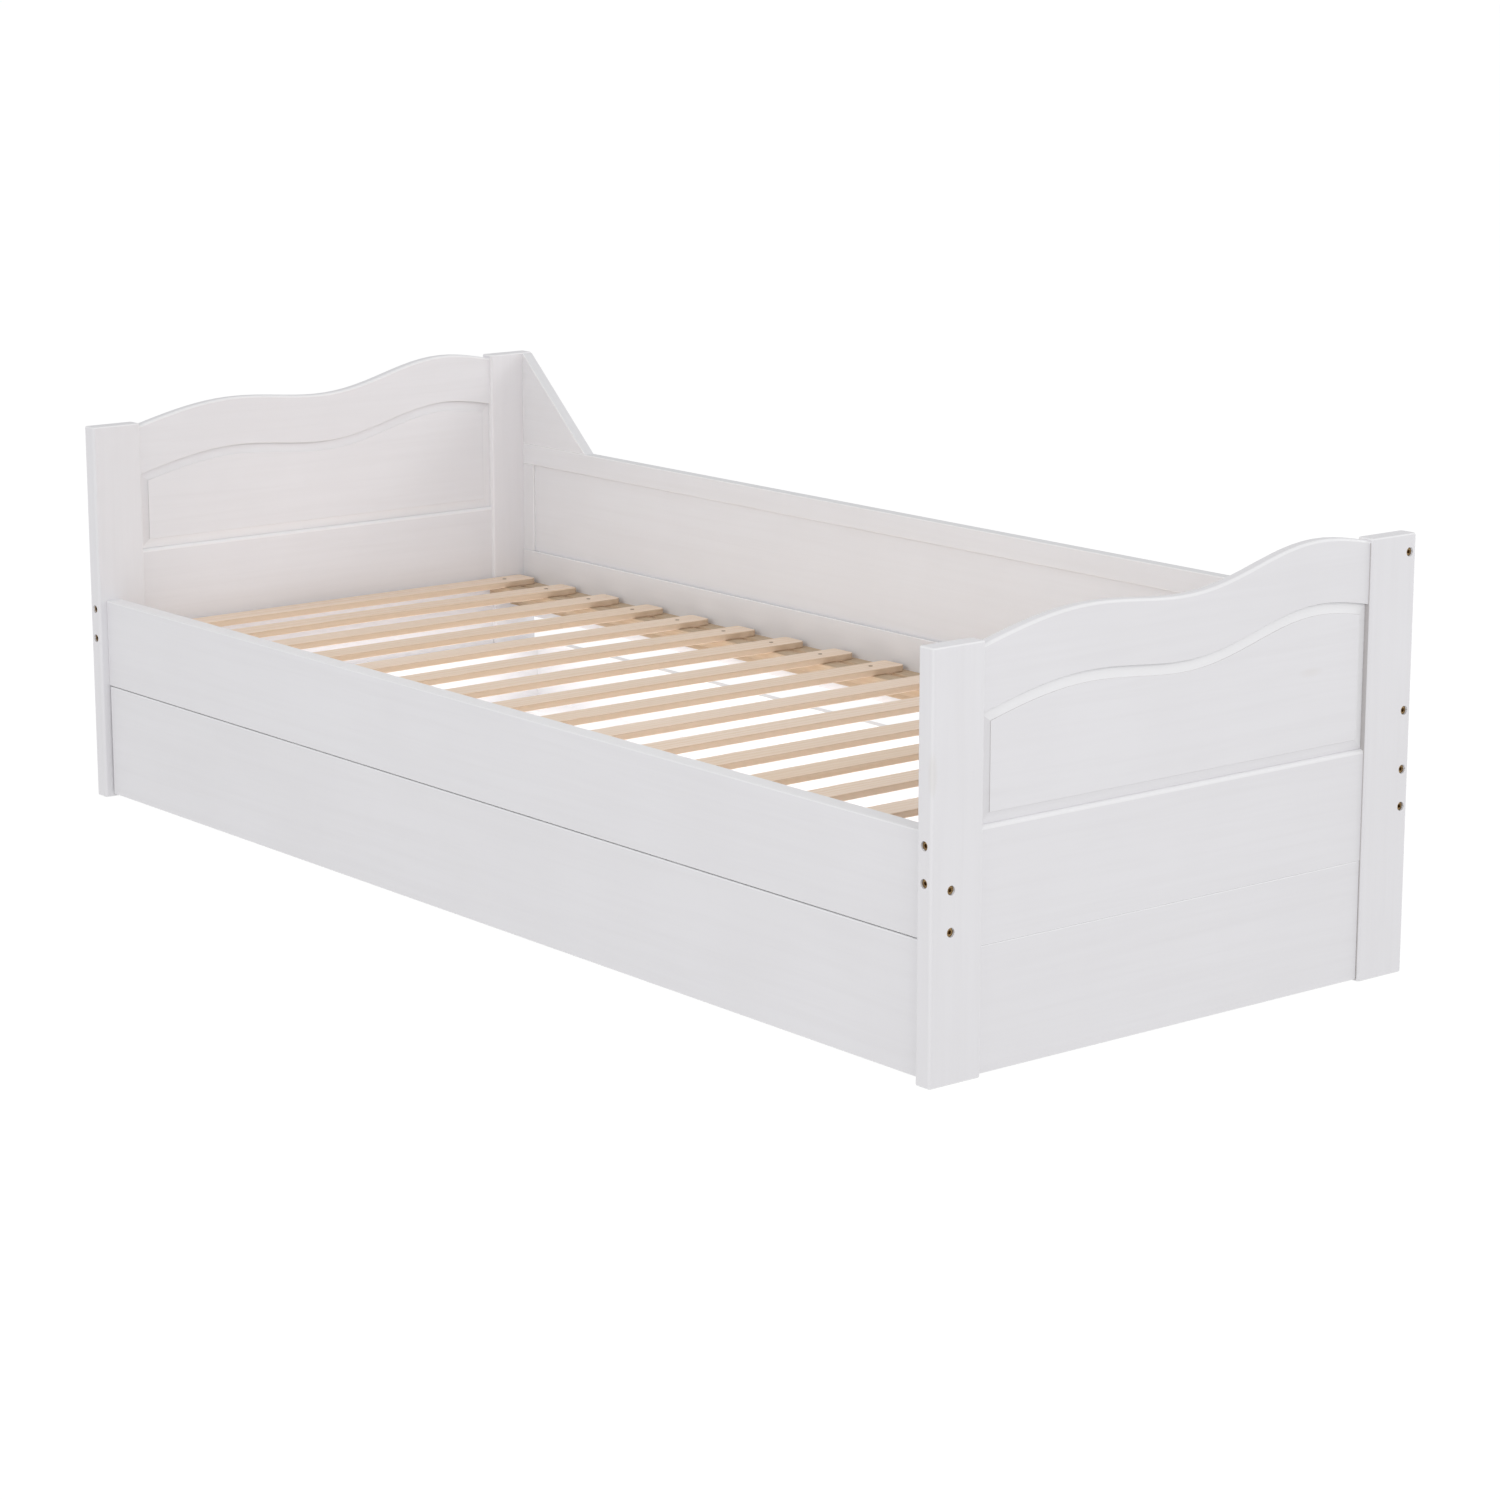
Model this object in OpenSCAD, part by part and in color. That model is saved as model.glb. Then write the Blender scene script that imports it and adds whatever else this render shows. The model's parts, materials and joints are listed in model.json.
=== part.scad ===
// Trundle bed: a low pine bed with S-curved ends and a back board on one long side,
// and a pull-out trundle on four wheels that closes flush under the front rail.
// Frame: X along the length (headboard at -X), -Y the trundle side, +Z up,
// origin under the middle of the bed, on the floor.

/* [Overall] */
// Length over the two ends
bed_length = 2060; // [1960:10:2160]
// Width over the posts
bed_width = 866; // [800:2:960]

/* [Posts] */
// Thickness of the post boards, along the bed
post_t = 28; // [26:1:34]
// Width of the post boards, across the bed
post_w = 86; // [76:2:96]
// Rounding of the posts' upright edges
post_edge_r = 4; // [2:0.5:6]
// Height of the front post at the foot
foot_front_h = 561; // [555:1:575]
// Height of the back post at the foot
foot_back_h = 613; // [605:1:630]
// Height of the front post at the head
head_front_h = 608; // [602:1:622]
// Height of the back post at the head
head_back_h = 664; // [650:1:680]

/* [End boards] */
// Thickness of the boards between the posts
end_board_t = 18; // [18:1:22]
// Height of the top rail's upper edge at the front, at the foot
foot_curve_z = 554; // [545:1:555]
// Height of the top rail's upper edge at the front, at the head
head_curve_z = 603; // [595:1:603]
// How much higher the curve ends at the back
curve_rise = 56; // [40:1:60]
// First wave of the S-curve, one hump over the whole width
wave_one = 8.3; // [5:0.1:14]
// Second wave of the S-curve, which lifts the front half and lowers the back half
wave_two = 1.7; // [0:0.1:4]
// Third wave of the S-curve, which makes its two crests
wave_three = 14; // [10:0.1:20]
// Fourth wave of the S-curve, which makes the back crest fuller
wave_four = -3.4; // [-6:0.1:0]
// Depth of the top rail at the foot
foot_rail_h = 86; // [80:1:95]
// Depth of the top rail at the head
head_rail_h = 79; // [70:1:90]
// Lower edge of the raised panel at the foot
foot_panel_z = 325; // [320:1:360]
// Lower edge of the raised panel at the head
head_panel_z = 401; // [380:1:420]
// Width of the raised panel's bevel
bevel_w = 15; // [12:1:24]
// Thickness of the raised panel at its field
panel_field_t = 16; // [12:1:17]
// Height of the shoulder between the field and the bevel
panel_shoulder = 1.2; // [0.8:0.1:2]
// Thickness of the raised panel's tongue
tongue_t = 6; // [5:1:8]
// Height of the joint between the two lower boards
lower_joint_z = 170; // [160:1:175]
// Clearance of the lower board over the floor
end_board_clear = 3; // [2:1:12]

/* [Long sides] */
// How far the front rail sits behind the front of the posts
front_recess = 13; // [12:1:16]
// Thickness of the front rail
front_rail_t = 28; // [25:1:28]
// Top of the front rail
front_rail_top = 325; // [320:1:330]
// Bottom of the front rail
front_rail_bottom = 185.6; // [185.2:0.2:188]
// How far the back boards sit inside the back of the posts
back_recess = 2; // [1:0.5:3]
// Thickness of the back rail
back_rail_t = 22; // [20:1:24]
// Top of the back rail
back_rail_top = 321; // [316:1:325]
// Bottom of the back rail
back_rail_bottom = 205; // [190:1:215]
// Thickness of the back panel's frame and of the wings
back_panel_t = 20; // [18:1:22]
// Top of the back panel
back_panel_top = 507; // [490:1:520]
// Width of the back panel's top rail
back_top_rail_h = 35; // [30:1:45]
// Width of the back panel's stiles
stile_w = 30; // [28:1:45]
// Thickness of the flat panel in the back panel's frame
inset_t = 12; // [12:1:17]

/* [Wings] */
// Top of the wing at the head
head_wing_top = 662; // [640:1:664]
// Length of the level top of the head wing
head_wing_flat = 4; // [2:1:30]
// Top of the wing at the foot
foot_wing_top = 598; // [597:1:604]
// Length of the level top of the foot wing
foot_wing_flat = 45; // [30:1:60]
// Fall of the wings' sloping edge, per unit of length
wing_slope = 0.88; // [0.7:0.01:1]

/* [Slats] */
// Number of slats of the bed
slat_count = 17; // [11:2:17]
// Width of a slat
slat_w = 48; // [44:1:70]
// Thickness of a slat
slat_t = 11; // [10:1:16]
// Top of the slats
slat_top = 278; // [274:1:282]
// Rounding of a slat's corners
slat_corner_r = 8; // [4:1:12]
// Gap between the slats' front ends and the front rail
slat_gap_front = 9; // [4:1:12]
// Gap between the slats' back ends and the back rail
slat_gap_back = 9; // [4:1:12]
// Distance from a slat's end to the bearer under it
bearer_inset = 35; // [30:1:45]
// Width of the bearers
bearer_w = 30; // [24:1:40]
// Height of the bearers
bearer_h = 18; // [15:1:22]
// Width of the ledgers on the rails
ledger_w = 30; // [24:1:34]
// Height of the ledgers on the rails
ledger_h = 40; // [30:1:45]

/* [Bolts] */
// Heights of the bolts in the posts' narrow faces
edge_bolt_z = [311, 263]; // [262:1:312]
// Heights of the bolts that hold the front rail
rail_bolt_z = [252, 198]; // [195:1:253]
// Distance of those bolts from the front of the post
rail_bolt_y = 33; // [30:1:34]
// Heights of the bolts that hold the back rail and the back panel
back_bolt_z = [370, 288, 236]; // [215:1:440]
// Distance of those bolts from the back of the post
back_bolt_y = 13; // [12:1:14]
// Height of the wing's bolt at the foot
foot_wing_bolt_z = 588; // [580:1:590]
// Height of the wing's bolt at the head
head_wing_bolt_z = 610; // [590:1:625]
// Radius of a bolt's shank
bolt_r = 3; // [3:0.5:4]
// Radius of a bolt's head
bolt_head_r = 5.6; // [5:0.1:6]
// Height of a bolt's head
bolt_head_h = 4.5; // [4:0.5:5]
// Width across the flats of a bolt's hexagon socket
bolt_hex = 5; // [4:0.5:6]
// Radius of the hole that takes a bolt's head
counterbore_r = 6.3; // [6.2:0.1:7]
// Depth of the hole that takes a bolt's head
counterbore_d = 7; // [6:0.5:8]
// Length of an insert nut
insert_l = 15; // [12:1:18]

/* [Trundle] */
// Gap between the trundle front and the posts, at each end
trundle_gap = 3; // [2:1:6]
// Bottom of the trundle front
trundle_front_bottom = 5; // [4:1:10]
// Top of the trundle front
trundle_front_top = 184; // [176:1:184]
// Thickness of the trundle's boards
trundle_t = 18; // [16:1:20]
// Bottom of the trundle's frame
trundle_frame_bottom = 32; // [30:1:40]
// Top of the trundle's frame
trundle_frame_top = 165; // [150:1:175]
// Underside of the trundle's base board
base_z = 54; // [52:1:60]
// Thickness of the trundle's base board
base_t = 8; // [6:1:10]
// Thickness of the tongue round the base board's edge
base_tongue_t = 4; // [3:0.5:5]
// Depth of the groove that takes that tongue
base_tongue_l = 6; // [4:1:8]
// Distance of the trundle's end rails from the inside of the posts
trundle_side_gap = 17; // [14:1:24]

/* [Wheels] */
// Radius of a wheel
wheel_r = 22; // [20:1:22]
// Width of a wheel
wheel_w = 19; // [15:1:20]
// Distance of the wheels from the middle, along the bed
wheel_x = 880; // [700:10:900]
// Distance of the front wheels from the middle, across the bed
wheel_front_y = 330; // [250:10:340]
// Distance of the back wheels from the middle, across the bed
wheel_back_y = 340; // [250:10:350]
// Radius of an axle
axle_r = 4; // [3:0.5:5]

/* [Hidden] */
$fn = 48;
eps = 0.01;
curve_steps = 36;
fit_gap = 0.2;
running_gap = 0.06;
hole_r = bolt_r + 0.5;
insert_r = 5;
tongue_l = 7.5;
side_tongue_l = 5;
back_tongue_l = 6;
back_tongue_t = 8;
screw_r = 1.8;
screw_head_r = 3.6;
slat_screw_l = 26;
corner_screw_l = 45;
corner_screw_shares = [0.3, 0.8];
bearer_screw_l = 24;
bracket_screw_y = 24;
bracket_screw_l = 9;
centre_bearer_w = 40;
centre_bearer_h = 24;
cheek_t = 2.5;
cheek_r = 12;
cheek_x = wheel_w / 2 + 1.5;
plate_t = 2.5;
plate_w = 46;
plate_l = 64;
rivet_r = axle_r + 2;
rivet_h = 2;

white = [0.87, 0.87, 0.89];
inside_white = [0.84, 0.83, 0.82];
pine = [0.82, 0.69, 0.52];
pine_shade = [0.78, 0.63, 0.44];
bronze = [0.42, 0.32, 0.2];
zinc = [0.7, 0.71, 0.72];
nylon = [0.16, 0.16, 0.17];

half_l = bed_length / 2;
half_w = bed_width / 2;
inner_x = half_l - post_t;
inner_y = half_w - post_w;
end_mid_x = half_l - post_t / 2;
front_rail_y = -half_w + front_recess;
front_inner_y = front_rail_y + front_rail_t;
back_face_y = half_w - back_recess;
back_inner_y = back_face_y - back_rail_t;
back_panel_y = back_face_y - back_panel_t;
back_mid_y = half_w - back_bolt_y;

slat_y0 = front_inner_y + slat_gap_front;
slat_y1 = back_inner_y - slat_gap_back;
slat_pitch = (2 * inner_x - 4 - slat_w) / (slat_count - 1);
slat_z = slat_top - slat_t;
bearer_front_y = slat_y0 + bearer_inset;
bearer_back_y = slat_y1 - bearer_inset - bearer_w;
screw_ys = [bearer_front_y + bearer_w / 2, bearer_back_y + bearer_w / 2];

trundle_front_y = front_rail_y;
trundle_frame_y0 = trundle_front_y + trundle_t;
trundle_frame_y1 = half_w - 3;
trundle_x = inner_x - trundle_side_gap;
trundle_front_x = inner_x - trundle_gap;
base_x = trundle_x - trundle_t;
wheel_places = [
    [-wheel_x, -wheel_front_y],
    [wheel_x, -wheel_front_y],
    [-wheel_x, wheel_back_y],
    [wheel_x, wheel_back_y]
];

// A bolt is [start on the face, turn from +Z into the wood, thickness of the post there].
into_x = [0, -90, 0];
into_front = [-90, 0, 0];
into_back = [90, 0, 0];

function edge_bolts() = concat(
    [for (z = edge_bolt_z) [[end_mid_x, -half_w, z], into_front, post_w]],
    [for (z = edge_bolt_z) [[end_mid_x, half_w, z], into_back, post_w]]
);
function rail_bolts() = [
    for (z = rail_bolt_z) [[half_l, -half_w + rail_bolt_y, z], into_x, post_t]
];
function back_bolts() = [for (z = back_bolt_z) [[half_l, back_mid_y, z], into_x, post_t]];
function wing_bolt(z) = [[half_l, back_mid_y, z], into_x, post_t];
function end_bolts(wing_z) = concat(edge_bolts(), rail_bolts(), back_bolts(), [wing_bolt(wing_z)]);

// Rise of the S-curve over its start, at y across the bed.
function curve_at(y) =
    let (t = (y + inner_y) / (2 * inner_y))
    curve_rise * t + wave_one * sin(180 * t) + wave_two * sin(360 * t)
        + wave_three * sin(540 * t) + wave_four * sin(720 * t);

function two_digits(n) = n < 10 ? str("0", n) : str(n);
function slat_name(n) = str("slat_", two_digits(n));
function wheel_name(n) = str("wheel_", n);
function bracket_name(n) = str("wheel_bracket_", n);

// ---- Helpers ----

// A rectangle with round corners, from the origin.
module round_rect(w, d, r) {
    translate([r, 0]) square([w - 2 * r, d]);
    translate([0, r]) square([w, d - 2 * r]);
    for (x = [r, w - r], y = [r, d - r]) translate([x, y]) circle(r);
}

// A box given by its lowest and highest corners.
module block(lo, hi) {
    translate(lo) cube(hi - lo);
}

// Parts of the ends are drawn at the foot and mirrored to the head.
module at_foot() {
    children();
}

module at_head() {
    mirror([1, 0, 0]) children();
}

// An outline in Y and Z, given a thickness along X about the middle of the end boards.
module end_plate(thickness) {
    translate([end_mid_x - thickness / 2, 0, 0])
        rotate([90, 0, 90])
            linear_extrude(thickness)
                children();
}

// A strip under the S-curve, from 'upper' to 'lower' below the curve.
module curve_strip(base_z, upper, lower, half_width) {
    ys = [for (i = [0 : curve_steps]) half_width * (2 * i / curve_steps - 1)];
    above = [for (y = ys) [y, base_z + curve_at(y) - upper]];
    below = [for (i = [curve_steps : -1 : 0]) [ys[i], base_z + curve_at(ys[i]) - lower]];
    polygon(concat(above, below));
}

// Everything that one bolt and its insert nut remove from the wood.
module bolt_space(b) {
    translate(b[0])
        rotate(b[1]) {
            translate([0, 0, -1]) cylinder(r = counterbore_r, h = counterbore_d + 1);
            cylinder(r = hole_r, h = b[2] + insert_l + 9);
            translate([0, 0, b[2]]) cylinder(r = insert_r, h = insert_l + 1);
        }
}

module bolt_spaces(bolts) {
    for (b = bolts) bolt_space(b);
}

module bolt(b) {
    translate(b[0])
        rotate(b[1])
            difference() {
                union() {
                    translate([0, 0, counterbore_d - bolt_head_h])
                        cylinder(r = bolt_head_r, h = bolt_head_h);
                    cylinder_from(counterbore_d - eps, b[2] + insert_l + 5, bolt_r);
                }
                translate([0, 0, counterbore_d - bolt_head_h - 1])
                    cylinder(r = bolt_hex / sqrt(3), h = 4, $fn = 6);
            }
}

module cylinder_from(z0, z1, r) {
    translate([0, 0, z0]) cylinder(r = r, h = z1 - z0);
}

module insert_nut(b) {
    translate(b[0])
        rotate(b[1])
            translate([0, 0, b[2]])
                difference() {
                    cylinder(r = insert_r, h = insert_l);
                    translate([0, 0, -1]) cylinder(r = bolt_r + 0.05, h = insert_l + 2);
                }
}

// A countersunk wood screw, pointing down from the origin.
module wood_screw(length) {
    translate([0, 0, -length]) cylinder(r = screw_r, h = length);
    translate([0, 0, -2]) cylinder(r1 = screw_r, r2 = screw_head_r, h = 2);
}

// ---- Ends ----

module post(y0, height, panel_z, groove_top, wing_z) {
    groove_y = y0 < 0 ? inner_y * -1 - side_tongue_l - fit_gap : inner_y - 1;
    color(white)
        difference() {
            translate([inner_x, y0, 0])
                linear_extrude(height)
                    round_rect(post_t, post_w, post_edge_r);
            bolt_spaces(end_bolts(wing_z));
            translate([end_mid_x - tongue_t / 2 - fit_gap, groove_y, panel_z - tongue_l - fit_gap])
                cube([
                    tongue_t + 2 * fit_gap,
                    side_tongue_l + fit_gap + 1,
                    groove_top - panel_z + 2 * tongue_l + 2 * fit_gap
                ]);
        }
}

module top_rail(base_z, depth) {
    color(white)
        difference() {
            end_plate(end_board_t)
                curve_strip(base_z, 0, depth, inner_y);
            end_plate(tongue_t + 2 * fit_gap)
                curve_strip(base_z, depth - tongue_l - fit_gap, depth + 4, inner_y + 1);
        }
}

// One ring of the raised panel's outline, moved in by 'inset' at a distance from the middle.
// It runs along the curve to the back, and returns along the straight lower edge.
function panel_ring(x, inset, side_inset, base_z, depth, panel_z) =
    let (
        half = inner_y - side_inset,
        ys = [for (i = [0 : curve_steps]) half * (2 * i / curve_steps - 1)]
    )
    concat(
        [for (y = ys) [end_mid_x + x, y, base_z + curve_at(y) - depth - inset]],
        [for (i = [curve_steps : -1 : 0]) [end_mid_x + x, ys[i], panel_z + inset]]
    );

module raised_panel(base_z, depth, panel_z) {
    half_tongue = tongue_t / 2;
    half_field = panel_field_t / 2;
    half_bevel = half_field - panel_shoulder;
    shape = [
        [-half_field, bevel_w, bevel_w],
        [-half_bevel, bevel_w, bevel_w],
        [-half_tongue, 0, 0],
        [-half_tongue, -tongue_l, -side_tongue_l],
        [half_tongue, -tongue_l, -side_tongue_l],
        [half_tongue, 0, 0],
        [half_bevel, bevel_w, bevel_w],
        [half_field, bevel_w, bevel_w]
    ];
    n = 2 * curve_steps + 2;
    last = (len(shape) - 1) * n;
    rings = [for (s = shape) panel_ring(s[0], s[1], s[2], base_z, depth, panel_z)];
    points = [for (r = rings, p = r) p];
    sides = [
        for (k = [0 : len(shape) - 2], i = [0 : n - 1], half = [0, 1])
            let (a = k * n + i, b = k * n + (i + 1) % n)
            half == 0 ? [a, b, b + n] : [a, b + n, a + n]
    ];
    strips = [for (i = [0 : curve_steps - 1]) [i, i + 1, n - 2 - i, n - 1 - i]];
    inner_face = [for (s = strips) [s[3], s[2], s[1], s[0]]];
    outer_face = [for (s = strips) [for (p = s) last + p]];
    color(white)
        polyhedron(points, concat(inner_face, sides, outer_face), convexity = 6);
}

module upper_board(panel_z) {
    half = end_board_t / 2;
    color(white)
        difference() {
            block([end_mid_x - half, -inner_y, lower_joint_z], [end_mid_x + half, inner_y, panel_z]);
            block(
                [end_mid_x - tongue_t / 2 - fit_gap, -inner_y - 1, panel_z - tongue_l - fit_gap],
                [end_mid_x + tongue_t / 2 + fit_gap, inner_y + 1, panel_z + 1]
            );
            bolt_spaces(edge_bolts());
        }
}

module lower_board() {
    half = end_board_t / 2;
    color(white)
        block(
            [end_mid_x - half, -inner_y, end_board_clear],
            [end_mid_x + half, inner_y, lower_joint_z]
        );
}

module wing(top, flat, bolt_z) {
    run = flat + (top - back_panel_top) / wing_slope;
    color(inside_white)
        difference() {
            translate([0, back_face_y, 0])
                rotate([90, 0, 0])
                    linear_extrude(back_panel_t)
                        polygon([
                            [inner_x, back_panel_top],
                            [inner_x, top],
                            [inner_x - flat, top],
                            [inner_x - run, back_panel_top]
                        ]);
            bolt_space(wing_bolt(bolt_z));
        }
}

module foot_front_post() {
    groove_top = foot_curve_z - foot_rail_h;
    at_foot() post(-half_w, foot_front_h, foot_panel_z, groove_top, foot_wing_bolt_z);
}

module foot_back_post() {
    groove_top = foot_curve_z + curve_rise - foot_rail_h;
    at_foot() post(inner_y, foot_back_h, foot_panel_z, groove_top, foot_wing_bolt_z);
}

module head_front_post() {
    groove_top = head_curve_z - head_rail_h;
    at_head() post(-half_w, head_front_h, head_panel_z, groove_top, head_wing_bolt_z);
}

module head_back_post() {
    groove_top = head_curve_z + curve_rise - head_rail_h;
    at_head() post(inner_y, head_back_h, head_panel_z, groove_top, head_wing_bolt_z);
}

module foot_top_rail() { at_foot() top_rail(foot_curve_z, foot_rail_h); }
module head_top_rail() { at_head() top_rail(head_curve_z, head_rail_h); }

module foot_raised_panel() { at_foot() raised_panel(foot_curve_z, foot_rail_h, foot_panel_z); }
module head_raised_panel() { at_head() raised_panel(head_curve_z, head_rail_h, head_panel_z); }

module foot_upper_board() { at_foot() upper_board(foot_panel_z); }
module head_upper_board() { at_head() upper_board(head_panel_z); }

module foot_lower_board() { at_foot() lower_board(); }
module head_lower_board() { at_head() lower_board(); }

module foot_wing() { at_foot() wing(foot_wing_top, foot_wing_flat, foot_wing_bolt_z); }
module head_wing() { at_head() wing(head_wing_top, head_wing_flat, head_wing_bolt_z); }

// ---- Long sides ----

module both_ends() {
    at_foot() children();
    at_head() children();
}

module front_rail() {
    color(white)
        difference() {
            block(
                [-inner_x, front_rail_y, front_rail_bottom],
                [inner_x, front_inner_y, front_rail_top]
            );
            both_ends() bolt_spaces(rail_bolts());
        }
}

module back_rail() {
    color(inside_white)
        difference() {
            block([-inner_x, back_inner_y, back_rail_bottom], [inner_x, back_face_y, back_rail_top]);
            both_ends() bolt_spaces(back_bolts());
            back_panel_grooves();
        }
}

// The groove that runs round the inside of the back panel's frame.
module back_panel_grooves() {
    half_t = back_tongue_t / 2 + fit_gap;
    reach = back_tongue_l + fit_gap;
    mid_y = back_panel_y + back_panel_t / 2;
    block(
        [-inner_x + stile_w - reach, mid_y - half_t, back_rail_top - reach],
        [inner_x - stile_w + reach, mid_y + half_t, back_panel_top - back_top_rail_h + reach]
    );
}

module back_panel_top_rail() {
    color(inside_white)
        difference() {
            block(
                [-inner_x, back_panel_y, back_panel_top - back_top_rail_h],
                [inner_x, back_face_y, back_panel_top]
            );
            back_panel_grooves();
        }
}

module back_panel_stile() {
    color(inside_white)
        difference() {
            block(
                [inner_x - stile_w, back_panel_y, back_rail_top],
                [inner_x, back_face_y, back_panel_top - back_top_rail_h]
            );
            bolt_spaces(back_bolts());
            back_panel_grooves();
        }
}

module back_panel_head_stile() { at_head() back_panel_stile(); }
module back_panel_foot_stile() { at_foot() back_panel_stile(); }

module back_panel_inset() {
    mid_y = back_panel_y + back_panel_t / 2;
    x = inner_x - stile_w;
    z0 = back_rail_top;
    z1 = back_panel_top - back_top_rail_h;
    color(inside_white)
        union() {
            block([-x, mid_y - inset_t / 2, z0], [x, mid_y + inset_t / 2, z1]);
            block(
                [-x - back_tongue_l, mid_y - back_tongue_t / 2, z0 - back_tongue_l],
                [x + back_tongue_l, mid_y + back_tongue_t / 2, z1 + back_tongue_l]
            );
        }
}

module front_ledger() {
    color(pine_shade)
        block([-inner_x, front_inner_y, slat_z - ledger_h], [inner_x, front_inner_y + ledger_w, slat_z]);
}

module back_ledger() {
    color(pine_shade)
        block([-inner_x, back_inner_y - ledger_w, slat_z - ledger_h], [inner_x, back_inner_y, slat_z]);
}

// ---- Slats ----

module slat_bearer(y0) {
    x = inner_x - 2;
    color(pine_shade)
        difference() {
            block([-x, y0, slat_z - bearer_h], [x, y0 + bearer_w, slat_z]);
            slat_screw_spaces();
        }
}

module slat_bearer_front() { slat_bearer(bearer_front_y); }
module slat_bearer_back() { slat_bearer(bearer_back_y); }

function slat_x(n) = (n - (slat_count + 1) / 2) * slat_pitch;

module slat(n) {
    color(pine)
        difference() {
            translate([slat_x(n) - slat_w / 2, slat_y0, slat_z])
                linear_extrude(slat_t)
                    round_rect(slat_w, slat_y1 - slat_y0, slat_corner_r);
            for (y = screw_ys) translate([slat_x(n), y, slat_top]) wood_screw(slat_screw_l);
        }
}

module slat_screw_spaces() {
    for (n = [1 : slat_count], y = screw_ys)
        translate([slat_x(n), y, slat_top]) wood_screw(slat_screw_l);
}

module slat_screws() {
    color(bronze) slat_screw_spaces();
}

// ---- Fasteners of the frame ----

module frame_bolts() {
    color(bronze) {
        at_foot() for (b = end_bolts(foot_wing_bolt_z)) bolt(b);
        at_head() for (b = end_bolts(head_wing_bolt_z)) bolt(b);
    }
}

module insert_nuts() {
    color(zinc) {
        at_foot() for (b = end_bolts(foot_wing_bolt_z)) insert_nut(b);
        at_head() for (b = end_bolts(head_wing_bolt_z)) insert_nut(b);
    }
}

// ---- Trundle ----

// A layer over the inside of the trundle's frame, and past it by 'reach' on all four sides.
module base_layer(reach, thickness) {
    block(
        [-base_x - reach, trundle_frame_y0 - reach, base_z],
        [base_x + reach, trundle_frame_y1 - trundle_t + reach, base_z + thickness]
    );
}

// The groove that holds the base board's tongue.
module base_groove() {
    base_layer(base_tongue_l, base_tongue_t);
}

module trundle_front() {
    color(white)
        difference() {
            block(
                [-trundle_front_x, trundle_front_y, trundle_front_bottom],
                [trundle_front_x, trundle_frame_y0, trundle_front_top]
            );
            base_groove();
        }
}

module trundle_end_rail() {
    color(white)
        difference() {
            block(
                [trundle_x - trundle_t, trundle_frame_y0, trundle_frame_bottom],
                [trundle_x, trundle_frame_y1, trundle_frame_top]
            );
            base_groove();
            corner_screws();
        }
}

module trundle_head_rail() { at_head() trundle_end_rail(); }
module trundle_foot_rail() { at_foot() trundle_end_rail(); }

module trundle_back_rail() {
    color(white)
        difference() {
            block(
                [-base_x, trundle_frame_y1 - trundle_t, trundle_frame_bottom],
                [base_x, trundle_frame_y1, trundle_frame_top]
            );
            base_groove();
            both_ends() corner_screws();
        }
}

module trundle_base() {
    color(white)
        difference() {
            union() {
                base_groove();
                base_layer(0, base_t);
            }
            bearer_screws();
            bracket_screws();
        }
}

module trundle_centre_bearer() {
    color(pine_shade)
        difference() {
            block(
                [-base_x, -centre_bearer_w / 2, base_z - centre_bearer_h],
                [base_x, centre_bearer_w / 2, base_z]
            );
            bearer_screws();
        }
}

// The screws through an end rail into the back rail, drawn at the foot end.
module corner_screws() {
    for (share = corner_screw_shares)
        translate([
            trundle_x,
            trundle_frame_y1 - trundle_t / 2,
            trundle_frame_bottom + share * (trundle_frame_top - trundle_frame_bottom)
        ])
            rotate([0, 90, 0])
                wood_screw(corner_screw_l);
}

// The screws through the base board into the centre bearer.
module bearer_screws() {
    for (i = [-3 : 3])
        translate([i * wheel_x / 3, 0, base_z + base_t]) wood_screw(bearer_screw_l);
}

// The screws through the wheel brackets' plates, up into the base board.
module bracket_screws() {
    for (p = wheel_places, y = [-bracket_screw_y, bracket_screw_y])
        translate([p[0], p[1] + y, base_z - plate_t])
            rotate([180, 0, 0])
                wood_screw(bracket_screw_l);
}

module trundle_screws() {
    color(zinc) {
        both_ends() corner_screws();
        bearer_screws();
        bracket_screws();
    }
}

// One side of a wheel's bracket, round at its foot about the axle.
module bracket_cheek() {
    block([0, -cheek_r, wheel_r], [cheek_t, cheek_r, base_z - plate_t]);
    translate([0, 0, wheel_r])
        rotate([0, 90, 0])
            cylinder(r = cheek_r, h = cheek_t);
}

module wheel_bracket(n) {
    p = wheel_places[n - 1];
    color(zinc)
        difference() {
            translate([p[0], p[1], 0])
                union() {
                    block(
                        [-plate_w / 2, -plate_l / 2, base_z - plate_t],
                        [plate_w / 2, plate_l / 2, base_z]
                    );
                    for (s = [0, 1])
                        mirror([s, 0, 0])
                            translate([cheek_x, 0, 0])
                                bracket_cheek();
                }
            translate([p[0], p[1], wheel_r])
                rotate([0, 90, 0])
                    cylinder(r = axle_r, h = plate_w, center = true);
            bracket_screws();
        }
}

module wheel_axles() {
    half = cheek_x + cheek_t;
    color(zinc)
        for (p = wheel_places)
            translate([p[0], p[1], wheel_r])
                rotate([0, 90, 0]) {
                    cylinder(r = axle_r, h = 2 * half, center = true);
                    for (s = [-1, 1])
                        translate([0, 0, s * (half + rivet_h / 2)])
                            cylinder(r = rivet_r, h = rivet_h, center = true);
                }
}

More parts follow.
